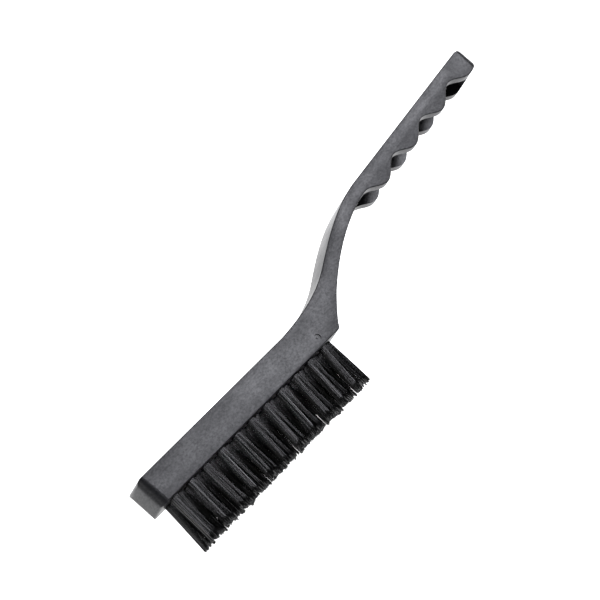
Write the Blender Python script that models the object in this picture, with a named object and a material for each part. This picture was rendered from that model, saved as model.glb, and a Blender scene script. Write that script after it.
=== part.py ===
"""A hand-held wheel brush with a one-piece moulded body, lying on its side.

The body is a solid head block, a curved neck and a finger-grooved handle that is cored out
from the bristle side. Three rows of bristle tufts stand in blind holes in the block, the
middle row staggered by half a pitch, and a flat wire anchor at the bottom of a hole holds
the fold of its tuft.

Frame: metres, +Z up. The brush lies on one side face, so Z runs across its width. X runs
along the head block towards the handle, and Y points from the bristles to the back. The
origin is on the resting face, in the middle of the whole brush's footprint. The constants
use a drawing frame with x = 0 near the first tuft and y = 0 just under the block.
"""

import math

import bmesh
import bpy
from mathutils import Matrix, Vector

MM = 0.001

# Head block and toe, the toe being the lower corner between the block and the neck.
WIDTH = 15.0 * MM
HANDLE_WIDTH = 18.5 * MM
WIDENING_START = 126.0 * MM
WIDENING_END = 156.0 * MM
UNDERSIDE = 0.8 * MM
BLOCK_BACK = 14.9 * MM
HEAD_END = -6.9 * MM
HEAD_BACK_RADIUS = 2.6 * MM
HEAD_FRONT_RADIUS = 1.4 * MM
TOE_X = 112.4 * MM
TOE_RADIUS = 2.4 * MM
HEAD_PLAN_RADIUS = 4.2 * MM
EDGE_CHAMFER = 0.7 * MM

# Handle: a straight bar at a small angle to the block, with a wavy underside.
HANDLE_SLOPE = 0.1195
HANDLE_END = 268.7 * MM
HANDLE_END_SLANT = 1.2 * MM
HANDLE_BACK_POINT = Vector((250.6 * MM, 49.5 * MM))
HANDLE_BACK_START = 172.9 * MM
HANDLE_END_BACK_RADIUS = 4.0 * MM
HANDLE_END_FRONT_RADIUS = 5.4 * MM
HANDLE_PLAN_RADIUS = 4.2 * MM
LAST_BUMP = Vector((260.7 * MM, 39.2 * MM))
GROOVES = 4
GROOVE_PITCH = 25.3 * MM
GROOVE_DEPTH = 5.2 * MM
POINTS_PER_GROOVE = 14

# Neck: the back bends twice, the front once.
NECK_BACK_TURN = Vector((129.6 * MM, 24.0 * MM))
NECK_TURN_DIRECTION = Vector((0.88, 0.475))
BLOCK_BACK_LIMIT = 90.0 * MM
NECK_FRONT_START = Vector((114.1 * MM, 2.9 * MM))
NECK_FRONT_DIRECTION = Vector((0.73, 0.69))
CURVE_STEPS = 12

# Channel cored out of the handle from the bristle side.
CHANNEL_WALL = 3.6 * MM
CHANNEL_ROOF = 2.6 * MM
CHANNEL_START = 157.0 * MM
CHANNEL_END = 263.6 * MM
CHANNEL_STEPS = 12

# Round moulding mark on the upper side face.
MARK_CENTRE = Vector((101.4 * MM, 4.6 * MM))
MARK_RADIUS = 1.6 * MM
MARK_DEPTH = 0.35 * MM

# Tufts, with their holes and anchors. Each row has a name, its side, its offset and anchors.
# The tips fan out along the block and lean a little towards the head's end.
FIRST_TUFT = 1.6 * MM
TUFT_PITCH = 10.0 * MM
TUFTS_PER_ROW = 11
ROW_SPACING = 3.5 * MM
ROWS = (("near", 1, 0.0, True), ("middle", 0, 0.5, True), ("far", -1, 0.0, False))
HOLE_RADIUS = 2.2 * MM
HOLE_DEPTH = 9.0 * MM
ROUND_SIDES = 12
CLEARANCE = 0.3 * MM
TUFT_TIP_Y = -21.8 * MM
TUFT_TIP_RADIUS = (3.7 * MM, 2.0 * MM)
TUFT_TIP_LEAN = -0.9 * MM
ANCHOR_LENGTH = 3.2 * MM
ANCHOR_HEIGHT = 1.6 * MM
ANCHOR_THICKNESS = 0.5 * MM

# How far a cutter reaches past the body, and the frame's origin in the drawing frame.
MARGIN = 5.0 * MM
ORIGIN = Vector((130.62 * MM, 14.62 * MM))


def handle_back_y(x):
    return HANDLE_BACK_POINT.y + HANDLE_SLOPE * (x - HANDLE_BACK_POINT.x)


def clear_scene():
    for old in list(bpy.data.objects):
        bpy.data.objects.remove(old, do_unlink=True)


def material(name, colour, roughness, metallic=0.0):
    made = bpy.data.materials.new(name)
    made.use_nodes = True
    shader = made.node_tree.nodes["Principled BSDF"]
    shader.inputs["Base Color"].default_value = (*colour, 1.0)
    shader.inputs["Roughness"].default_value = roughness
    shader.inputs["Metallic"].default_value = metallic
    return made


def bezier(start, start_handle, end_handle, end, steps):
    """The curve's points after its start, up to and including its end."""
    points = []
    for step in range(1, steps + 1):
        t = step / steps
        s = 1 - t
        points.append(s**3 * start + 3 * s * s * t * start_handle + 3 * s * t * t * end_handle + t**3 * end)
    return points


def rounded_corner(before, corner, after, radius, steps=4):
    """Points of the arc that rounds a corner."""
    towards_before = (before - corner).normalized()
    towards_after = (after - corner).normalized()
    half_angle = towards_before.angle(towards_after) / 2
    reach = radius / math.tan(half_angle)
    middle = corner + (towards_before + towards_after).normalized() * (radius / math.sin(half_angle))
    first = (corner + towards_before * reach - middle).normalized()
    last = (corner + towards_after * reach - middle).normalized()
    return [middle + radius * first.slerp(last, step / steps) for step in range(steps + 1)]


def groove_line(x):
    """Underside of the handle: a straight line with a cosine wave that makes the finger grooves."""
    wave = (1 - math.cos(2 * math.pi * (LAST_BUMP.x - x) / GROOVE_PITCH)) / 2
    return Vector((x, LAST_BUMP.y + HANDLE_SLOPE * (x - LAST_BUMP.x) + GROOVE_DEPTH * wave))


def neck_back():
    """The back from the straight handle down to the block's flat back."""
    bar = Vector((1.0, HANDLE_SLOPE)).normalized()
    start = Vector((HANDLE_BACK_START, handle_back_y(HANDLE_BACK_START)))
    turn = NECK_BACK_TURN
    end = Vector((BLOCK_BACK_LIMIT, BLOCK_BACK))
    upper = bezier(start, start - bar * 17 * MM, turn + NECK_TURN_DIRECTION * 15 * MM, turn, CURVE_STEPS)
    lower = bezier(
        turn, turn - NECK_TURN_DIRECTION * 11 * MM, end + Vector((18 * MM, 1.0 * MM)), end, CURVE_STEPS
    )
    return [start] + upper + lower


def body_outline():
    """Side outline of the body, anticlockwise from the head's lower corner."""
    lower_corner = Vector((HEAD_END, UNDERSIDE))
    upper_corner = Vector((HEAD_END, BLOCK_BACK))
    toe = Vector((TOE_X, UNDERSIDE))
    block_back = neck_back()[-1]
    bar = Vector((1.0, HANDLE_SLOPE)).normalized()
    groove_end = groove_line(LAST_BUMP.x - (GROOVES - 0.5) * GROOVE_PITCH)
    end_lower = Vector((HANDLE_END, LAST_BUMP.y + HANDLE_SLOPE * (HANDLE_END - LAST_BUMP.x)))
    end_upper_x = HANDLE_END - HANDLE_END_SLANT
    end_upper = Vector((end_upper_x, handle_back_y(end_upper_x)))

    outline = rounded_corner(upper_corner, lower_corner, toe, HEAD_FRONT_RADIUS)
    outline += rounded_corner(lower_corner, toe, NECK_FRONT_START, TOE_RADIUS)
    outline.append(NECK_FRONT_START)
    outline += bezier(
        NECK_FRONT_START,
        NECK_FRONT_START + NECK_FRONT_DIRECTION * 21 * MM,
        groove_end - bar * 20 * MM,
        groove_end,
        CURVE_STEPS,
    )
    waves = round((GROOVES - 0.5) * POINTS_PER_GROOVE)
    for step in range(1, waves + 1):
        outline.append(groove_line(groove_end.x + step * GROOVE_PITCH / POINTS_PER_GROOVE))
    outline += rounded_corner(outline[-1], end_lower, end_upper, HANDLE_END_FRONT_RADIUS)
    outline += rounded_corner(end_lower, end_upper, end_upper - bar, HANDLE_END_BACK_RADIUS)
    outline += neck_back()
    outline += rounded_corner(block_back, upper_corner, lower_corner, HEAD_BACK_RADIUS)
    return outline


def prism(name, outline, bottom, height):
    """A closed prism over a flat outline given in the drawing frame, from z = bottom up."""
    mesh = bpy.data.meshes.new(name)
    shape = bmesh.new()
    face = shape.faces.new([shape.verts.new((*(point - ORIGIN), bottom)) for point in outline])
    top = bmesh.ops.extrude_face_region(shape, geom=[face])["geom"]
    moved = [item for item in top if isinstance(item, bmesh.types.BMVert)]
    bmesh.ops.translate(shape, verts=moved, vec=(0, 0, height))
    bmesh.ops.recalc_face_normals(shape, faces=shape.faces)
    shape.to_mesh(mesh)
    shape.free()
    made = bpy.data.objects.new(name, mesh)
    bpy.context.scene.collection.objects.link(made)
    return made


def make_cutter(made):
    made.hide_render = True
    made.display_type = "WIRE"
    return made


def cut(target, cutter, operation="DIFFERENCE"):
    boolean = target.modifiers.new(cutter.name, "BOOLEAN")
    boolean.object = cutter
    boolean.operation = operation
    boolean.solver = "EXACT"


def widen(target):
    """Raises the upper side along the neck, from the block's width to the handle's."""
    shape = bmesh.new()
    shape.from_mesh(target.data)
    for x in (WIDENING_START, WIDENING_END):
        everything = list(shape.verts) + list(shape.edges) + list(shape.faces)
        bmesh.ops.bisect_plane(shape, geom=everything, plane_co=(x - ORIGIN.x, 0, 0), plane_no=(1, 0, 0))
    for vertex in shape.verts:
        if vertex.co.z > WIDTH / 2:
            share = (vertex.co.x + ORIGIN.x - WIDENING_START) / (WIDENING_END - WIDENING_START)
            vertex.co.z = WIDTH + (HANDLE_WIDTH - WIDTH) * min(max(share, 0.0), 1.0)
    shape.to_mesh(target.data)
    shape.free()


def plan_envelope():
    """Rounds the four upright corners that the head's end and the handle's end show in plan."""
    corners = [
        Vector((HEAD_END, 0.0)),
        Vector((HANDLE_END, 0.0)),
        Vector((HANDLE_END, HANDLE_WIDTH)),
        Vector((HEAD_END, WIDTH)),
    ]
    arcs = []
    for index, corner in enumerate(corners):
        at_head = index in (0, 3)
        radius = HEAD_PLAN_RADIUS if at_head else HANDLE_PLAN_RADIUS
        across = Vector((corner.x, corners[3 - index].y))
        level = Vector((HANDLE_END if at_head else HEAD_END, corner.y))
        before, after = (across, level) if index % 2 == 0 else (level, across)
        arcs.append(rounded_corner(before, corner, after, radius, 5))
    # Between the arcs the outline stands clear of the body, so that only the corners are cut.
    below, above = -MARGIN, HANDLE_WIDTH + MARGIN
    outline = arcs[0] + [Vector((arcs[0][-1].x, below)), Vector((arcs[1][0].x, below))] + arcs[1]
    outline += arcs[2] + [Vector((arcs[2][-1].x, above)), Vector((arcs[3][0].x, above))] + arcs[3]
    made = prism("plan_envelope", [point + Vector((0, ORIGIN.y)) for point in outline], 0.0, 1.0)
    # Stand the plan up: its y becomes z, and its height runs along Y.
    stand = Matrix(((1, 0, 0, 0), (0, 0, -1, 0.5), (0, 1, 0, 0), (0, 0, 0, 1)))
    made.data.transform(stand)
    return make_cutter(made)


def channel_cutter():
    """The hollow of the handle: its roof runs at an even depth under the back."""
    back = [Vector((HANDLE_END, handle_back_y(HANDLE_END)))] + neck_back()
    roof = []
    for step in range(CHANNEL_STEPS + 1):
        x = CHANNEL_END + (CHANNEL_START - CHANNEL_END) * step / CHANNEL_STEPS
        ahead = next(index for index, point in enumerate(back) if point.x <= x)
        a, b = back[ahead - 1], back[ahead]
        along = (a - b).normalized()
        on_back = b + (a - b) * ((x - b.x) / (a.x - b.x))
        roof.append(on_back - Vector((-along.y, along.x)) * CHANNEL_ROOF)
    floor_y = UNDERSIDE + MARGIN
    outline = roof + [Vector((roof[-1].x, floor_y)), Vector((roof[0].x, floor_y))]
    return make_cutter(prism("channel_cutter", outline, CHANNEL_WALL, HANDLE_WIDTH - 2 * CHANNEL_WALL))


def tuft_places():
    """Row name, number in its row, x, z and whether the tuft's anchor is modelled."""
    for row, side, offset, anchored in ROWS:
        for number in range(TUFTS_PER_ROW):
            x = FIRST_TUFT + (number + offset) * TUFT_PITCH - ORIGIN.x
            yield row, number + 1, x, WIDTH / 2 + side * ROW_SPACING, anchored


def ring_stack(rings):
    """A closed round solid along -Y from (y, x radius, z radius, x shift) rings, down its length."""
    shape = bmesh.new()
    loops = []
    for y, radius_x, radius_z, shift in rings:
        loop = []
        for side in range(ROUND_SIDES):
            angle = 2 * math.pi * (side + 0.5) / ROUND_SIDES
            loop.append(shape.verts.new((shift + radius_x * math.cos(angle), y, radius_z * math.sin(angle))))
        loops.append(loop)
    for upper, lower in zip(loops, loops[1:]):
        for side in range(ROUND_SIDES):
            after = (side + 1) % ROUND_SIDES
            shape.faces.new((upper[side], upper[after], lower[after], lower[side]))
    shape.faces.new(loops[0])
    shape.faces.new(loops[-1])
    bmesh.ops.recalc_face_normals(shape, faces=shape.faces)
    return shape


def hole_cutter():
    """All the blind holes, as one cutter of separate round plugs."""
    mesh = bpy.data.meshes.new("tuft_holes")
    plug = ring_stack(
        (
            (UNDERSIDE + HOLE_DEPTH - ORIGIN.y, HOLE_RADIUS, HOLE_RADIUS, 0.0),
            (UNDERSIDE - MARGIN - ORIGIN.y, HOLE_RADIUS, HOLE_RADIUS, 0.0),
        )
    )
    one = list(plug.verts) + list(plug.edges) + list(plug.faces)
    for _, _, x, z, _ in tuft_places():
        copy = bmesh.ops.duplicate(plug, geom=one)["geom"]
        copied = [item for item in copy if isinstance(item, bmesh.types.BMVert)]
        bmesh.ops.translate(plug, verts=copied, vec=(x, 0, z))
    bmesh.ops.delete(plug, geom=[item for item in one if isinstance(item, bmesh.types.BMVert)])
    plug.to_mesh(mesh)
    plug.free()
    made = bpy.data.objects.new("tuft_holes", mesh)
    bpy.context.scene.collection.objects.link(made)
    return make_cutter(made)


def mark_cutter():
    """A shallow round recess in the upper side face."""
    outline = []
    for side in range(ROUND_SIDES):
        angle = 2 * math.pi * side / ROUND_SIDES
        outline.append(MARK_CENTRE + MARK_RADIUS * Vector((math.cos(angle), math.sin(angle))))
    return make_cutter(prism("mark_cutter", outline, WIDTH - MARK_DEPTH, MARGIN))


def build_body(plastic):
    body = prism("body", body_outline(), 0.0, WIDTH)
    widen(body)
    body.data.materials.append(plastic)
    chamfer = body.modifiers.new("edge_chamfer", "BEVEL")
    chamfer.width = EDGE_CHAMFER
    chamfer.segments = 1
    chamfer.limit_method = "ANGLE"
    chamfer.angle_limit = math.radians(80)
    cut(body, plan_envelope(), "INTERSECT")
    cut(body, channel_cutter())
    cut(body, hole_cutter())
    cut(body, mark_cutter())
    body.data.shade_smooth()
    body.data.set_sharp_from_angle(angle=math.radians(35))


def tuft_mesh(bristle):
    """One bundle of bristles: round in its hole, flared at its tips, with a slot for its anchor."""
    root_y = UNDERSIDE + HOLE_DEPTH - CLEARANCE - ORIGIN.y
    mouth_y = UNDERSIDE - ORIGIN.y
    tip_y = TUFT_TIP_Y - ORIGIN.y
    root_radius = HOLE_RADIUS - CLEARANCE
    mesh = bpy.data.meshes.new("tuft_blank")
    shape = ring_stack(
        (
            (root_y, root_radius, root_radius, 0.0),
            (mouth_y, root_radius, root_radius, 0.0),
            (tip_y, *TUFT_TIP_RADIUS, TUFT_TIP_LEAN),
        )
    )
    shape.to_mesh(mesh)
    shape.free()
    blank = bpy.data.objects.new("tuft_blank", mesh)
    bpy.context.scene.collection.objects.link(blank)
    slot = box("anchor_slot", ANCHOR_THICKNESS + 2 * CLEARANCE, 2 * (ANCHOR_HEIGHT + CLEARANCE), 4 * HOLE_RADIUS)
    slot.location.y = root_y
    cut(blank, slot)
    bpy.context.view_layer.update()
    graph = bpy.context.evaluated_depsgraph_get()
    finished = bpy.data.meshes.new_from_object(blank.evaluated_get(graph))
    finished.name = "tuft"
    finished.materials.clear()
    finished.materials.append(bristle)
    finished.shade_smooth()
    finished.set_sharp_from_angle(angle=math.radians(50))
    bpy.data.objects.remove(blank)
    bpy.data.objects.remove(slot)
    return finished


def box(name, size_x, size_y, size_z):
    mesh = bpy.data.meshes.new(name)
    shape = bmesh.new()
    bmesh.ops.create_cube(shape, size=1.0, matrix=Matrix.Diagonal((size_x, size_y, size_z, 1.0)))
    shape.to_mesh(mesh)
    shape.free()
    made = bpy.data.objects.new(name, mesh)
    bpy.context.scene.collection.objects.link(made)
    return made


def build_tufts(bristle, wire):
    mesh = tuft_mesh(bristle)
    plate = box("anchor_plate", ANCHOR_THICKNESS, ANCHOR_HEIGHT, ANCHOR_LENGTH)
    anchor_mesh = plate.data
    anchor_mesh.materials.append(wire)
    bpy.data.objects.remove(plate)
    anchor_y = UNDERSIDE + HOLE_DEPTH - CLEARANCE - ANCHOR_HEIGHT / 2 - ORIGIN.y
    for row, number, x, z, anchored in tuft_places():
        tuft = bpy.data.objects.new(f"tuft_{row}_{number:02d}", mesh)
        tuft.location = (x, 0, z)
        bpy.context.scene.collection.objects.link(tuft)
        if anchored:
            anchor = bpy.data.objects.new(f"anchor_{row}_{number:02d}", anchor_mesh)
            anchor.location = (x, anchor_y, z)
            bpy.context.scene.collection.objects.link(anchor)


clear_scene()
build_body(material("moulded_plastic", (0.085, 0.085, 0.095), 0.42))
build_tufts(
    material("nylon_bristle", (0.012, 0.012, 0.014), 0.5),
    material("anchor_wire", (0.62, 0.6, 0.56), 0.35, 1.0),
)
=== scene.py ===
"""Looks for the wheel brush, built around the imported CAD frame.

The body is remade from the same outline as the CAD body with finer curves and soft edges. Each
tuft becomes its own bundle of separate filaments. The anchors keep their CAD shape, and the far
row, whose anchors the CAD leaves out, gets them here.
"""

import math

import bmesh
import bpy
import numpy as np
from mathutils import Matrix, Vector


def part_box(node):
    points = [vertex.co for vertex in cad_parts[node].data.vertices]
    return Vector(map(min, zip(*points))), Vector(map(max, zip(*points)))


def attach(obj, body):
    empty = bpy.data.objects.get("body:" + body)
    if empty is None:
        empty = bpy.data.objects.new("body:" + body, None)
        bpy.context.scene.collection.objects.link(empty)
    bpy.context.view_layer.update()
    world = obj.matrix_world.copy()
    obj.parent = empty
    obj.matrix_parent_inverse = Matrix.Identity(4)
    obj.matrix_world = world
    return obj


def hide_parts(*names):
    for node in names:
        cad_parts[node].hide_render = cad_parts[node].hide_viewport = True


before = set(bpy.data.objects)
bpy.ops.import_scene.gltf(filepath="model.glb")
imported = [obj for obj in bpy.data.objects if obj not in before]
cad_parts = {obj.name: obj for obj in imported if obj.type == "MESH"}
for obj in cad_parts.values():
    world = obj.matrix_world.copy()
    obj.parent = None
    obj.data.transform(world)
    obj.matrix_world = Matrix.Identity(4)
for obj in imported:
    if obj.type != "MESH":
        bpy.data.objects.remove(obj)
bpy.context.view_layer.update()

MM = 0.001
SEED = 4117

# Base colours, each from its darkest tone to its lightest, and the floor's own glow, which keeps
# it as bright as white around the brush.
PLASTIC_BROAD = ((0.016, 0.0162, 0.0185), (0.026, 0.0262, 0.0295))
PLASTIC_FINE = ((0.018, 0.0182, 0.0205), (0.025, 0.0252, 0.0285))
NYLON = ((0.0025, 0.0025, 0.003), (0.006, 0.0061, 0.0066))
STEEL = ((0.45, 0.44, 0.41), (0.66, 0.64, 0.6))
FLOOR = ((0.92, 0.92, 0.925), (0.94, 0.94, 0.94))
FLOOR_GLOW = 1.55

# The part of a noise texture's range that it mostly stays within.
NOISE_LOW, NOISE_HIGH = 0.3, 0.7

# The body, as in the CAD, in a drawing frame whose y = 0 is just under the block's underside and
# whose first hole is at x = 1.6 mm.
WIDTH = 15.0 * MM
HANDLE_WIDTH = 18.5 * MM
WIDENING_START = 126.0 * MM
WIDENING_END = 156.0 * MM
UNDERSIDE = 0.8 * MM
BLOCK_BACK = 14.9 * MM
HEAD_END = -6.9 * MM
HEAD_BACK_RADIUS = 2.6 * MM
HEAD_FRONT_RADIUS = 1.4 * MM
TOE_X = 112.4 * MM
TOE_RADIUS = 2.4 * MM
HEAD_PLAN_RADIUS = 4.2 * MM
EDGE_ROUND = 0.95 * MM
EDGE_SEGMENTS = 4
EDGE_ANGLE = math.radians(80)
SHARP_ANGLE = math.radians(32)
HANDLE_SLOPE = 0.1195
HANDLE_END = 268.7 * MM
HANDLE_END_SLANT = 1.2 * MM
HANDLE_BACK_POINT = Vector((250.6 * MM, 49.5 * MM))
HANDLE_BACK_START = 172.9 * MM
HANDLE_END_BACK_RADIUS = 4.0 * MM
HANDLE_END_FRONT_RADIUS = 5.4 * MM
HANDLE_PLAN_RADIUS = 4.2 * MM
LAST_BUMP = Vector((260.7 * MM, 39.2 * MM))
GROOVES = 4
GROOVE_PITCH = 25.3 * MM
GROOVE_DEPTH = 5.2 * MM
POINTS_PER_GROOVE = 32
NECK_BACK_TURN = Vector((129.6 * MM, 24.0 * MM))
NECK_TURN_DIRECTION = Vector((0.88, 0.475))
BLOCK_BACK_LIMIT = 90.0 * MM
NECK_FRONT_START = Vector((114.1 * MM, 2.9 * MM))
NECK_FRONT_DIRECTION = Vector((0.73, 0.69))
# How far each of the neck's Bezier handles reaches from its end of the curve, in millimetres
# except for the block's back.
HANDLE_BACK_PULL = 17
NECK_TURN_UPPER_PULL = 15
NECK_TURN_LOWER_PULL = 11
NECK_FRONT_PULL = 21
GROOVE_END_PULL = 20
BLOCK_BACK_PULL = Vector((18 * MM, 1.0 * MM))
CURVE_STEPS = 36
CORNER_STEPS = 10
CHANNEL_WALL = 3.6 * MM
CHANNEL_ROOF = 2.6 * MM
CHANNEL_START = 157.0 * MM
CHANNEL_END = 263.6 * MM
CHANNEL_STEPS = 36
MARK_CENTRE = Vector((101.4 * MM, 4.6 * MM))
MARK_RADIUS = 1.6 * MM
MARK_DEPTH = 0.35 * MM
MARK_PIP_RADIUS = 0.6 * MM
MARK_PIP_HEIGHT = 1.6 * MARK_DEPTH
MARK_SIDES = 32
MARK_PIP_SIDES = 16
HOLE_RADIUS = 2.2 * MM
HOLE_DEPTH = 9.0 * MM
HOLE_SIDES = 32
# How far a cutter reaches past the body, and how deep the plan's envelope is along Y.
MARGIN = 5.0 * MM
ENVELOPE_DEPTH = 1.0

# Tufts.
ROWS = ("near", "middle", "far")
TUFTS_PER_ROW = 11
FILAMENTS = 96
FILAMENT_RADIUS = 0.175 * MM
FILAMENT_SIDES = 6
FILAMENT_RINGS = 9
BUNDLE_RADIUS = 2.0 * MM
# The CAD tufts' lean, which is only used to find a hole from the box of its tuft.
TIP_LEAN = -0.9 * MM
# Each tuft is folded over its anchor and so parts in two. For the half towards the head's end
# and then the other: its tips' (x, z) offset at the first tuft, their reach either side of
# that, how tightly its clumps draw in, and its share of the tuft's lean.
HALF_OFFSET = ((-2.5 * MM, -1.0 * MM), (1.3 * MM, -1.5 * MM))
HALF_REACH = ((1.35 * MM, 2.0 * MM), (2.1 * MM, 2.1 * MM))
HALF_PULL = ((0.1, 0.4), (0.35, 0.7))
HALF_LEAN = (1.0, 0.2)
# A half's middle, as a share of the bundle's radius, and what widens a half to its reach in x.
HALF_CENTRE = 0.45
HALF_WIDENING = 1.8
# Each tuft leans further towards the head's end than the one before. The near row also lifts.
LEAN_PER_TUFT = -0.2 * MM
LEAN_SCATTER = 0.3 * MM
NEAR_LIFT = 1.9 * MM
# How far a half's clumps stand apart, as a share of its reach.
CLUMPS_PER_HALF = 4
CLUMP_SPREAD = 0.75
TIP_SCATTER = 0.1 * MM
# What disturbs the even packing in a disc, and the rounded full turn, in radians, for its start.
DISC_SCATTER = 0.03 * MM
FULL_TURN = 6.28
# How far the tips run past the CAD tuft's: the mean, and the scatter from clump to clump and
# from filament to filament.
TIP_OVERRUN = 0.25 * MM
CLUMP_OVERRUN = 0.35 * MM
FILAMENT_OVERRUN = 0.25 * MM
BOW = 0.06 * MM
FLARE_POWER = 1.1
# The filaments stay at least this far above the floor.
LOWEST_POINT = 0.05 * MM
ANCHOR_EDGE = 0.12 * MM
ANCHOR_EDGE_SEGMENTS = 3

# Lights: the world's colour and strength, then each softbox's name, direction from the brush,
# distance, size, how bright its face looks, and colour.
WORLD_COLOUR = (0.98, 0.99, 1.0, 1.0)
WORLD_STRENGTH = 0.06
SOFTBOXES = (
    ("back_box", (0.54, 0.13, 0.8), 1.1, (0.3, 0.84), 8.8, (0.975, 0.98, 1.05)),
    ("fill_box", (-0.85, 0.15, 0.6), 1.6, (1.3, 0.8), 0.85, (1.0, 1.0, 1.0)),
)
FLOOR_RADIUS = 4.0
FLOOR_SIDES = 96

# The camera stands at the viewing angle of the photograph.
CAMERA_PLACE = Vector((-563.18 * MM, -102.82 * MM, 956.57 * MM))
CAMERA_ELEVATION = math.radians(54.0)
CAMERA_HEADING = math.radians(10.4045)
CAMERA_ROLL = math.radians(32.735)
CAMERA_LENS = 169.79
CAMERA_SENSOR = 36.0
CAMERA_CLIP = (0.05, 20.0)

body_low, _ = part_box("body")
ORIGIN = Vector((HEAD_END - body_low.x, UNDERSIDE - body_low.y))


# Node materials ---------------------------------------------------------------------------

def new_material(name):
    made = bpy.data.materials.new(name)
    made.use_nodes = True
    tree = made.node_tree
    return made, tree, tree.nodes["Principled BSDF"]


def node(tree, kind, **settings):
    made = tree.nodes.new(kind)
    for key, value in settings.items():
        setattr(made, key, value)
    return made


def noise(tree, scale, detail=2.0, roughness=0.5, distortion=0.0):
    """Noise in the object's own space, with its scale per metre along x, y and z."""
    place = node(tree, "ShaderNodeTexCoord")
    mapping = node(tree, "ShaderNodeMapping")
    mapping.inputs["Scale"].default_value = scale
    tree.links.new(place.outputs["Object"], mapping.inputs["Vector"])
    made = node(tree, "ShaderNodeTexNoise")
    made.inputs["Scale"].default_value = 1.0
    made.inputs["Detail"].default_value = detail
    made.inputs["Roughness"].default_value = roughness
    made.inputs["Distortion"].default_value = distortion
    tree.links.new(mapping.outputs["Vector"], made.inputs["Vector"])
    return made.outputs["Fac"]


def two_tone(tree, value, tones, start=NOISE_LOW, end=NOISE_HIGH):
    made = node(tree, "ShaderNodeValToRGB")
    for element, position, tone in zip(made.color_ramp.elements, (start, end), tones):
        element.position = position
        element.color = (*tone, 1.0)
    tree.links.new(value, made.inputs["Fac"])
    return made.outputs["Color"]


def spread(tree, value, low, high):
    """The noise value, mapped onto the range from low to high."""
    made = node(tree, "ShaderNodeMapRange")
    made.inputs["From Min"].default_value = NOISE_LOW
    made.inputs["From Max"].default_value = NOISE_HIGH
    made.inputs["To Min"].default_value = low
    made.inputs["To Max"].default_value = high
    tree.links.new(value, made.inputs["Value"])
    return made.outputs["Result"]


def bump(tree, height, strength, distance, under=None):
    made = node(tree, "ShaderNodeBump")
    made.inputs["Strength"].default_value = strength
    made.inputs["Distance"].default_value = distance
    tree.links.new(height, made.inputs["Height"])
    if under is not None:
        tree.links.new(under, made.inputs["Normal"])
    return made.outputs["Normal"]


def mix_colours(tree, factor, first, second):
    made = node(tree, "ShaderNodeMix", data_type="RGBA")
    tree.links.new(factor, made.inputs["Factor"])
    tree.links.new(first, made.inputs["A"])
    tree.links.new(second, made.inputs["B"])
    return made.outputs["Result"]


def plastic_material():
    """Charcoal moulded plastic: broad flow marks, small mottling and a fine moulded grain."""
    made, tree, shader = new_material("charcoal_plastic")
    flow = noise(tree, (26, 70, 40), 4.0, 0.55, 0.8)
    cloud = noise(tree, (60, 95, 60), 3.0, 0.6, 0.3)
    speck = noise(tree, (900, 1300, 900), 2.0, 0.6)
    grain = noise(tree, (2600, 2600, 2600))
    broad = two_tone(tree, flow, PLASTIC_BROAD, 0.34, 0.66)
    fine = two_tone(tree, cloud, PLASTIC_FINE)
    colour = mix_colours(tree, spread(tree, speck, 0.2, 0.8), broad, fine)
    tree.links.new(colour, shader.inputs["Base Color"])
    tree.links.new(spread(tree, cloud, 0.3, 0.42), shader.inputs["Roughness"])
    tree.links.new(spread(tree, speck, 0.28, 0.56), shader.inputs["Specular IOR Level"])
    relief = bump(tree, grain, 0.35, 0.04 * MM)
    relief = bump(tree, speck, 0.3, 0.06 * MM, relief)
    relief = bump(tree, flow, 0.25, 0.4 * MM, relief)
    tree.links.new(relief, shader.inputs["Normal"])
    shader.inputs["IOR"].default_value = 1.5
    return made


def bristle_material():
    """Black nylon filament, a little different from one filament to the next and along each."""
    made, tree, shader = new_material("black_nylon")
    across = noise(tree, (1500, 45, 1500))
    along = noise(tree, (420, 260, 420), 3.0, 0.6)
    tree.links.new(two_tone(tree, across, NYLON, 0.35, 0.7), shader.inputs["Base Color"])
    tree.links.new(spread(tree, along, 0.17, 0.24), shader.inputs["Roughness"])
    tree.links.new(bump(tree, along, 0.2, 0.03 * MM), shader.inputs["Normal"])
    shader.inputs["IOR"].default_value = 1.68
    return made


def wire_material():
    """Drawn steel wire, flattened, with fine lines along it."""
    made, tree, shader = new_material("anchor_steel")
    lines = noise(tree, (6000, 6000, 300), 3.0, 0.6)
    tree.links.new(two_tone(tree, lines, STEEL), shader.inputs["Base Color"])
    tree.links.new(spread(tree, lines, 0.24, 0.42), shader.inputs["Roughness"])
    tree.links.new(bump(tree, lines, 0.4, 0.02 * MM), shader.inputs["Normal"])
    shader.inputs["Metallic"].default_value = 1.0
    return made


def floor_material():
    """Pale card, a little uneven in tone, with its own glow."""
    made, tree, shader = new_material("pale_floor")
    tone = noise(tree, (3, 3, 3))
    tree.links.new(two_tone(tree, tone, FLOOR), shader.inputs["Base Color"])
    shader.inputs["Roughness"].default_value = 0.75
    shader.inputs["Emission Color"].default_value = (1.0, 1.0, 1.0, 1.0)
    shader.inputs["Emission Strength"].default_value = FLOOR_GLOW
    return made


# Body -------------------------------------------------------------------------------------

def handle_back_y(x):
    return HANDLE_BACK_POINT.y + HANDLE_SLOPE * (x - HANDLE_BACK_POINT.x)


def bezier(start, start_handle, end_handle, end):
    """The curve's points after its start, up to and including its end."""
    points = []
    for step in range(1, CURVE_STEPS + 1):
        t = step / CURVE_STEPS
        s = 1 - t
        near_start = s**3 * start + 3 * s * s * t * start_handle
        points.append(near_start + 3 * s * t * t * end_handle + t**3 * end)
    return points


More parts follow.
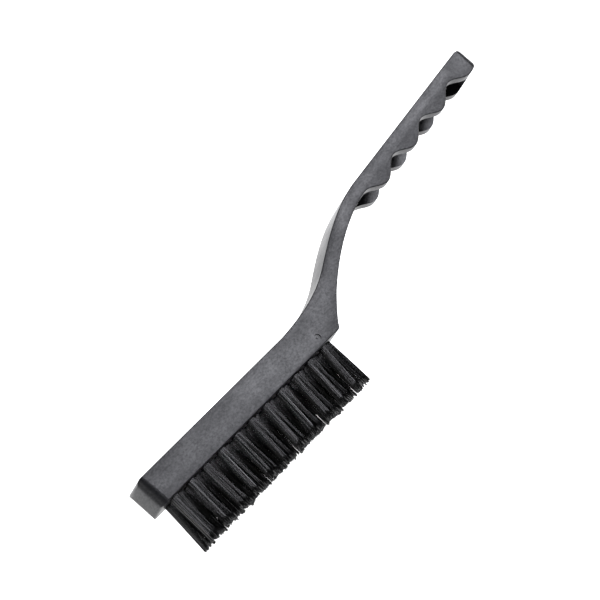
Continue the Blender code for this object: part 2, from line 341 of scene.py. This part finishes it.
def rounded_corner(before, corner, after, radius):
    """Points of the arc that rounds a corner."""
    towards_before = (before - corner).normalized()
    towards_after = (after - corner).normalized()
    half_angle = towards_before.angle(towards_after) / 2
    reach = radius / math.tan(half_angle)
    inwards = (towards_before + towards_after).normalized()
    middle = corner + inwards * (radius / math.sin(half_angle))
    first = (corner + towards_before * reach - middle).normalized()
    last = (corner + towards_after * reach - middle).normalized()
    shares = (step / CORNER_STEPS for step in range(CORNER_STEPS + 1))
    return [middle + radius * first.slerp(last, share) for share in shares]


def groove_line(x):
    wave = (1 - math.cos(2 * math.pi * (LAST_BUMP.x - x) / GROOVE_PITCH)) / 2
    return Vector((x, LAST_BUMP.y + HANDLE_SLOPE * (x - LAST_BUMP.x) + GROOVE_DEPTH * wave))


def neck_back():
    """The back from the straight handle down to the block's flat back."""
    bar = Vector((1.0, HANDLE_SLOPE)).normalized()
    start = Vector((HANDLE_BACK_START, handle_back_y(HANDLE_BACK_START)))
    turn = NECK_BACK_TURN
    end = Vector((BLOCK_BACK_LIMIT, BLOCK_BACK))
    upper_pull = NECK_TURN_DIRECTION * NECK_TURN_UPPER_PULL * MM
    lower_pull = NECK_TURN_DIRECTION * NECK_TURN_LOWER_PULL * MM
    upper = bezier(start, start - bar * HANDLE_BACK_PULL * MM, turn + upper_pull, turn)
    lower = bezier(turn, turn - lower_pull, end + BLOCK_BACK_PULL, end)
    return [start] + upper + lower


def body_outline():
    """Side outline of the body, anticlockwise from the head's lower corner."""
    lower_corner = Vector((HEAD_END, UNDERSIDE))
    upper_corner = Vector((HEAD_END, BLOCK_BACK))
    toe = Vector((TOE_X, UNDERSIDE))
    block_back = neck_back()[-1]
    bar = Vector((1.0, HANDLE_SLOPE)).normalized()
    groove_end = groove_line(LAST_BUMP.x - (GROOVES - 0.5) * GROOVE_PITCH)
    end_lower = Vector((HANDLE_END, LAST_BUMP.y + HANDLE_SLOPE * (HANDLE_END - LAST_BUMP.x)))
    end_upper_x = HANDLE_END - HANDLE_END_SLANT
    end_upper = Vector((end_upper_x, handle_back_y(end_upper_x)))

    outline = rounded_corner(upper_corner, lower_corner, toe, HEAD_FRONT_RADIUS)
    outline += rounded_corner(lower_corner, toe, NECK_FRONT_START, TOE_RADIUS)
    outline.append(NECK_FRONT_START)
    outline += bezier(
        NECK_FRONT_START,
        NECK_FRONT_START + NECK_FRONT_DIRECTION * NECK_FRONT_PULL * MM,
        groove_end - bar * GROOVE_END_PULL * MM,
        groove_end,
    )
    waves = round((GROOVES - 0.5) * POINTS_PER_GROOVE)
    for step in range(1, waves + 1):
        outline.append(groove_line(groove_end.x + step * GROOVE_PITCH / POINTS_PER_GROOVE))
    outline += rounded_corner(outline[-1], end_lower, end_upper, HANDLE_END_FRONT_RADIUS)
    outline += rounded_corner(end_lower, end_upper, end_upper - bar, HANDLE_END_BACK_RADIUS)
    outline += neck_back()
    outline += rounded_corner(block_back, upper_corner, lower_corner, HEAD_BACK_RADIUS)
    return outline


def link(name, mesh):
    made = bpy.data.objects.new(name, mesh)
    bpy.context.scene.collection.objects.link(made)
    return made


def prism(name, outline, bottom, height):
    """A closed prism over a flat outline given in the drawing frame, from z = bottom up."""
    mesh = bpy.data.meshes.new(name)
    shape = bmesh.new()
    face = shape.faces.new([shape.verts.new((*(point - ORIGIN), bottom)) for point in outline])
    top = bmesh.ops.extrude_face_region(shape, geom=[face])["geom"]
    moved = [item for item in top if isinstance(item, bmesh.types.BMVert)]
    bmesh.ops.translate(shape, verts=moved, vec=(0, 0, height))
    bmesh.ops.recalc_face_normals(shape, faces=shape.faces)
    shape.to_mesh(mesh)
    shape.free()
    return link(name, mesh)


def circle(centre, radius, sides):
    turns = (2 * math.pi * side / sides for side in range(sides))
    return [centre + radius * Vector((math.cos(turn), math.sin(turn))) for turn in turns]


def cut(target, cutter, operation="DIFFERENCE"):
    boolean = target.modifiers.new(cutter.name, "BOOLEAN")
    boolean.object = cutter
    boolean.operation = operation
    boolean.solver = "EXACT"
    return cutter


def widen(target):
    """Raises the upper side along the neck, from the block's width to the handle's."""
    shape = bmesh.new()
    shape.from_mesh(target.data)
    for x in (WIDENING_START, WIDENING_END):
        everything = list(shape.verts) + list(shape.edges) + list(shape.faces)
        station = (x - ORIGIN.x, 0, 0)
        bmesh.ops.bisect_plane(shape, geom=everything, plane_co=station, plane_no=(1, 0, 0))
    for vertex in shape.verts:
        if vertex.co.z > WIDTH / 2:
            share = (vertex.co.x + ORIGIN.x - WIDENING_START) / (WIDENING_END - WIDENING_START)
            vertex.co.z = WIDTH + (HANDLE_WIDTH - WIDTH) * min(max(share, 0.0), 1.0)
    shape.to_mesh(target.data)
    shape.free()


def plan_envelope():
    """Rounds the four upright corners that the head's end and the handle's end show in plan."""
    corners = [
        Vector((HEAD_END, 0.0)),
        Vector((HANDLE_END, 0.0)),
        Vector((HANDLE_END, HANDLE_WIDTH)),
        Vector((HEAD_END, WIDTH)),
    ]
    arcs = []
    for index, corner in enumerate(corners):
        at_head = index in (0, 3)
        radius = HEAD_PLAN_RADIUS if at_head else HANDLE_PLAN_RADIUS
        across = Vector((corner.x, corners[3 - index].y))
        level = Vector((HANDLE_END if at_head else HEAD_END, corner.y))
        before, after = (across, level) if index % 2 == 0 else (level, across)
        arcs.append(rounded_corner(before, corner, after, radius))
    # Between the arcs the outline stands clear of the body, so that only the corners are cut.
    below, above = -MARGIN, HANDLE_WIDTH + MARGIN
    outline = arcs[0] + [Vector((arcs[0][-1].x, below)), Vector((arcs[1][0].x, below))] + arcs[1]
    outline += arcs[2] + [Vector((arcs[2][-1].x, above)), Vector((arcs[3][0].x, above))] + arcs[3]
    plan = [point + Vector((0, ORIGIN.y)) for point in outline]
    made = prism("plan_envelope", plan, 0.0, ENVELOPE_DEPTH)
    # Stand the plan up: its y becomes z, and its depth runs along Y.
    stand = Matrix(((1, 0, 0, 0), (0, 0, -1, ENVELOPE_DEPTH / 2), (0, 1, 0, 0), (0, 0, 0, 1)))
    made.data.transform(stand)
    return made


def channel_cutter():
    """The hollow of the handle: its roof runs at an even depth under the back."""
    back = [Vector((HANDLE_END, handle_back_y(HANDLE_END)))] + neck_back()
    roof = []
    for step in range(CHANNEL_STEPS + 1):
        x = CHANNEL_END + (CHANNEL_START - CHANNEL_END) * step / CHANNEL_STEPS
        ahead = next(index for index, point in enumerate(back) if point.x <= x)
        a, b = back[ahead - 1], back[ahead]
        along = (a - b).normalized()
        on_back = b + (a - b) * ((x - b.x) / (a.x - b.x))
        roof.append(on_back - Vector((-along.y, along.x)) * CHANNEL_ROOF)
    floor_y = UNDERSIDE + MARGIN
    outline = roof + [Vector((roof[-1].x, floor_y)), Vector((roof[0].x, floor_y))]
    return prism("channel_cutter", outline, CHANNEL_WALL, HANDLE_WIDTH - 2 * CHANNEL_WALL)


def hole_cutter(centres):
    """All the blind holes, as one cutter of separate round plugs."""
    mesh = bpy.data.meshes.new("tuft_holes")
    shape = bmesh.new()
    deep, out = UNDERSIDE + HOLE_DEPTH - ORIGIN.y, UNDERSIDE - MARGIN - ORIGIN.y
    for x, z in centres:
        ring = circle(Vector((x, z)), HOLE_RADIUS, HOLE_SIDES)
        inner = [shape.verts.new((p.x, deep, p.y)) for p in ring]
        outer = [shape.verts.new((p.x, out, p.y)) for p in ring]
        for side in range(HOLE_SIDES):
            after = (side + 1) % HOLE_SIDES
            shape.faces.new((inner[side], inner[after], outer[after], outer[side]))
        shape.faces.new(inner)
        shape.faces.new(outer)
    bmesh.ops.recalc_face_normals(shape, faces=shape.faces)
    shape.to_mesh(mesh)
    shape.free()
    return link("tuft_holes", mesh)


def build_body(holes, plastic):
    """The moulding: its rounded edges, and then its corners, channel, holes and mark."""
    body = prism("brush_body", body_outline(), 0.0, WIDTH)
    widen(body)
    rounding = body.modifiers.new("edge_round", "BEVEL")
    rounding.width = EDGE_ROUND
    rounding.segments = EDGE_SEGMENTS
    rounding.limit_method = "ANGLE"
    rounding.angle_limit = EDGE_ANGLE
    ring = circle(MARK_CENTRE, MARK_RADIUS, MARK_SIDES)
    cutters = [
        cut(body, plan_envelope(), "INTERSECT"),
        cut(body, channel_cutter()),
        cut(body, hole_cutter(holes)),
        cut(body, prism("mark_ring", ring, WIDTH - MARK_DEPTH, MARGIN)),
    ]
    dot = circle(MARK_CENTRE, MARK_PIP_RADIUS, MARK_PIP_SIDES)
    pip = prism("mark_pip", dot, WIDTH - 2 * MARK_DEPTH, MARK_PIP_HEIGHT)
    cutters.append(cut(body, pip, "UNION"))
    bpy.context.view_layer.update()
    graph = bpy.context.evaluated_depsgraph_get()
    finished = bpy.data.meshes.new_from_object(body.evaluated_get(graph))
    body.modifiers.clear()
    body.data = finished
    for cutter in cutters:
        bpy.data.objects.remove(cutter)
    finished.materials.clear()
    finished.materials.append(plastic)
    finished.shade_smooth()
    finished.set_sharp_from_angle(angle=SHARP_ANGLE)
    return body


# Tufts ------------------------------------------------------------------------------------

def sunflower(count, radius, random):
    """Evenly packed places in a disc, a little disturbed."""
    index = np.arange(count)
    distance = radius * np.sqrt((index + 0.5) / count)
    angle = index * math.pi * (3 - math.sqrt(5)) + random.uniform(0, FULL_TURN)
    places = np.stack([distance * np.cos(angle), distance * np.sin(angle)], axis=1)
    return places + random.normal(0, DISC_SCATTER, places.shape)


def bundle(name, place, root_y, tip_y, random, lean, nylon):
    """One tuft: two halves of filaments that leave the hole together, flare, and form clumps."""
    centre_x, centre_z = place
    mouth_y = UNDERSIDE - ORIGIN.y
    roots = sunflower(FILAMENTS, BUNDLE_RADIUS, random)
    half = (roots[:, 0] > 0).astype(int)
    to_centre = np.where(half, -HALF_CENTRE, HALF_CENTRE)[:, None] * np.array([1.0, 0.0])
    within = roots / BUNDLE_RADIUS + to_centre
    width = np.array(HALF_REACH)[half] * np.array([HALF_WIDENING, 1.0])
    scatter = random.normal(0, TIP_SCATTER, roots.shape)
    tips = np.array(HALF_OFFSET)[half] + within * width + scatter
    # Every value drawn here is replaced below. It stays so that the later draws don't change.
    clump = random.integers(0, CLUMPS_PER_HALF, FILAMENTS)
    for side in (0, 1):
        chosen = half == side
        spots = sunflower(CLUMPS_PER_HALF, CLUMP_SPREAD, random)
        seeds = spots * np.array(HALF_REACH[side]) + HALF_OFFSET[side]
        clump[chosen] = np.argmin(((tips[chosen, None] - seeds[None]) ** 2).sum(2), axis=1)
        pull = random.uniform(*HALF_PULL[side], CLUMPS_PER_HALF)[clump[chosen]][:, None]
        tips[chosen] += (seeds[clump[chosen]] - tips[chosen]) * pull
    clump += half * CLUMPS_PER_HALF
    overrun = random.normal(TIP_OVERRUN, CLUMP_OVERRUN, 2 * CLUMPS_PER_HALF)[clump]
    overrun = overrun + random.normal(0, FILAMENT_OVERRUN, FILAMENTS)
    bow = random.normal(0, BOW, (FILAMENTS, 2))
    sway = np.array(lean) * np.array(HALF_LEAN)[half][:, None]

    # The first ring is deep in the hole, and the rest run from its mouth to the tip.
    rings = [(roots, np.full(FILAMENTS, root_y))]
    for step in np.linspace(0, 1, FILAMENT_RINGS - 1):
        offset = roots + (tips - roots) * step**FLARE_POWER + bow * math.sin(math.pi * step)
        offset = offset + sway * step**FLARE_POWER
        rings.append((offset, mouth_y + (tip_y - overrun - mouth_y) * step))

    turns = 2 * np.pi * np.arange(FILAMENT_SIDES) / FILAMENT_SIDES
    circle_x, circle_z = FILAMENT_RADIUS * np.cos(turns), FILAMENT_RADIUS * np.sin(turns)
    points = np.empty((FILAMENTS, FILAMENT_RINGS, FILAMENT_SIDES, 3))
    for index, (offset, y) in enumerate(rings):
        points[:, index, :, 0] = centre_x + offset[:, :1] + circle_x
        points[:, index, :, 1] = y[:, None]
        points[:, index, :, 2] = np.maximum(centre_z + offset[:, 1:] + circle_z, LOWEST_POINT)
    faces = []
    per = FILAMENT_RINGS * FILAMENT_SIDES
    for strand in range(FILAMENTS):
        first = strand * per
        for ring in range(FILAMENT_RINGS - 1):
            a = first + ring * FILAMENT_SIDES
            for side in range(FILAMENT_SIDES):
                b = (side + 1) % FILAMENT_SIDES
                faces.append((a + side, a + b, a + FILAMENT_SIDES + b, a + FILAMENT_SIDES + side))
        faces.append(tuple(reversed(range(first, first + FILAMENT_SIDES))))
        last = first + per - FILAMENT_SIDES
        faces.append(tuple(range(last, last + FILAMENT_SIDES)))
    mesh = bpy.data.meshes.new(name)
    mesh.from_pydata(points.reshape(-1, 3).tolist(), [], faces)
    # The sides are smooth and the cut ends are flat.
    mesh.polygons.foreach_set("use_smooth", [len(face) == 4 for face in faces])
    mesh.materials.append(nylon)
    mesh.update()
    return link(name, mesh)


def anchor_plate(name, centre, size, wire):
    """A short piece of flattened wire with its edges rolled round."""
    mesh = bpy.data.meshes.new(name)
    shape = bmesh.new()
    placing = Matrix.Translation(centre) @ Matrix.Diagonal((*size, 1.0))
    bmesh.ops.create_cube(shape, size=1.0, matrix=placing)
    bmesh.ops.bevel(
        shape,
        geom=list(shape.edges),
        offset=ANCHOR_EDGE,
        segments=ANCHOR_EDGE_SEGMENTS,
        affect="EDGES",
        profile=0.5,
    )
    shape.to_mesh(mesh)
    shape.free()
    mesh.materials.append(wire)
    mesh.shade_smooth()
    return link(name, mesh)


def hole_place(row, number):
    """(x, z) of a tuft's hole: the CAD tuft flares round a point TIP_LEAN away from it."""
    low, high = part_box(f"tuft_{row}_{number:02d}")
    return (low.x + high.x) / 2 - TIP_LEAN, (low.z + high.z) / 2


def hole_places():
    return [hole_place(row, number) for row in ROWS for number in range(1, TUFTS_PER_ROW + 1)]


def build_tufts(bristle, wire):
    """Every tuft's bristles, and the far row's anchors in line with the near row's."""
    anchor_low, anchor_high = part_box("anchor_near_01")
    near_x, near_z = hole_place("near", 1)
    for row_index, row in enumerate(ROWS):
        lift = NEAR_LIFT if row == "near" else 0.0
        for number in range(1, TUFTS_PER_ROW + 1):
            cad_name = f"tuft_{row}_{number:02d}"
            low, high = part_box(cad_name)
            place = hole_place(row, number)
            random = np.random.default_rng(SEED + 100 * row_index + number)
            lean = (LEAN_PER_TUFT * (number - 1) + random.normal(0, LEAN_SCATTER), lift)
            name = f"bristles_{row}_{number:02d}"
            piece = bundle(name, place, high.y, low.y, random, lean, bristle)
            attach(piece, "root")
            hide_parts(cad_name)
            if row == "far":
                shift = Vector((place[0] - near_x, 0, place[1] - near_z))
                centre = (anchor_low + anchor_high) / 2 + shift
                size = anchor_high - anchor_low
                plate = anchor_plate(f"anchor_far_{number:02d}", centre, size, wire)
                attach(plate, "root")


# Stage ------------------------------------------------------------------------------------

def build_floor():
    mesh = bpy.data.meshes.new("floor")
    shape = bmesh.new()
    bmesh.ops.create_circle(shape, cap_ends=True, segments=FLOOR_SIDES, radius=FLOOR_RADIUS)
    shape.to_mesh(mesh)
    shape.free()
    mesh.materials.append(floor_material())
    link("floor", mesh)


def softbox(name, direction, distance, size, radiance, colour):
    """A rectangular light that faces the brush, given by how bright its face looks."""
    data = bpy.data.lights.new(name, "AREA")
    data.shape = "RECTANGLE"
    data.size, data.size_y = size
    data.energy = radiance * math.pi * size[0] * size[1]
    data.color = colour
    lamp = bpy.data.objects.new(name, data)
    way = Vector(direction).normalized()
    lamp.location = way * distance
    lamp.rotation_euler = way.to_track_quat("Z", "Y").to_euler()
    bpy.context.scene.collection.objects.link(lamp)


def build_lights():
    world = bpy.data.worlds.new("studio")
    world.use_nodes = True
    background = world.node_tree.nodes["Background"]
    background.inputs["Color"].default_value = WORLD_COLOUR
    background.inputs["Strength"].default_value = WORLD_STRENGTH
    bpy.context.scene.world = world
    for settings in SOFTBOXES:
        softbox(*settings)


def build_camera():
    sin, cos = math.sin, math.cos
    ahead = Vector((cos(CAMERA_HEADING), sin(CAMERA_HEADING), 0.0))
    right = Vector((sin(CAMERA_HEADING), -cos(CAMERA_HEADING), 0.0))
    forward = cos(CAMERA_ELEVATION) * ahead - sin(CAMERA_ELEVATION) * Vector((0, 0, 1))
    up = sin(CAMERA_ELEVATION) * ahead + cos(CAMERA_ELEVATION) * Vector((0, 0, 1))
    across = cos(CAMERA_ROLL) * right + sin(CAMERA_ROLL) * up
    above = cos(CAMERA_ROLL) * up - sin(CAMERA_ROLL) * right
    data = bpy.data.cameras.new("camera")
    data.lens = CAMERA_LENS
    data.sensor_width = CAMERA_SENSOR
    data.clip_start, data.clip_end = CAMERA_CLIP
    camera = bpy.data.objects.new("camera", data)
    turn = Matrix((across, above, -forward)).transposed().to_4x4()
    camera.matrix_world = Matrix.Translation(CAMERA_PLACE - Vector((*ORIGIN, 0.0))) @ turn
    bpy.context.scene.collection.objects.link(camera)
    bpy.context.scene.camera = camera


build_camera()
plastic, bristle, wire = plastic_material(), bristle_material(), wire_material()
body = build_body(hole_places(), plastic)
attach(body, "root")
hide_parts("body")
build_tufts(bristle, wire)
for row in ROWS[:2]:
    for number in range(1, TUFTS_PER_ROW + 1):
        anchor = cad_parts[f"anchor_{row}_{number:02d}"]
        for material_slot in anchor.material_slots:
            material_slot.material = wire
build_floor()
build_lights()
bpy.context.scene.view_settings.view_transform = "Standard"
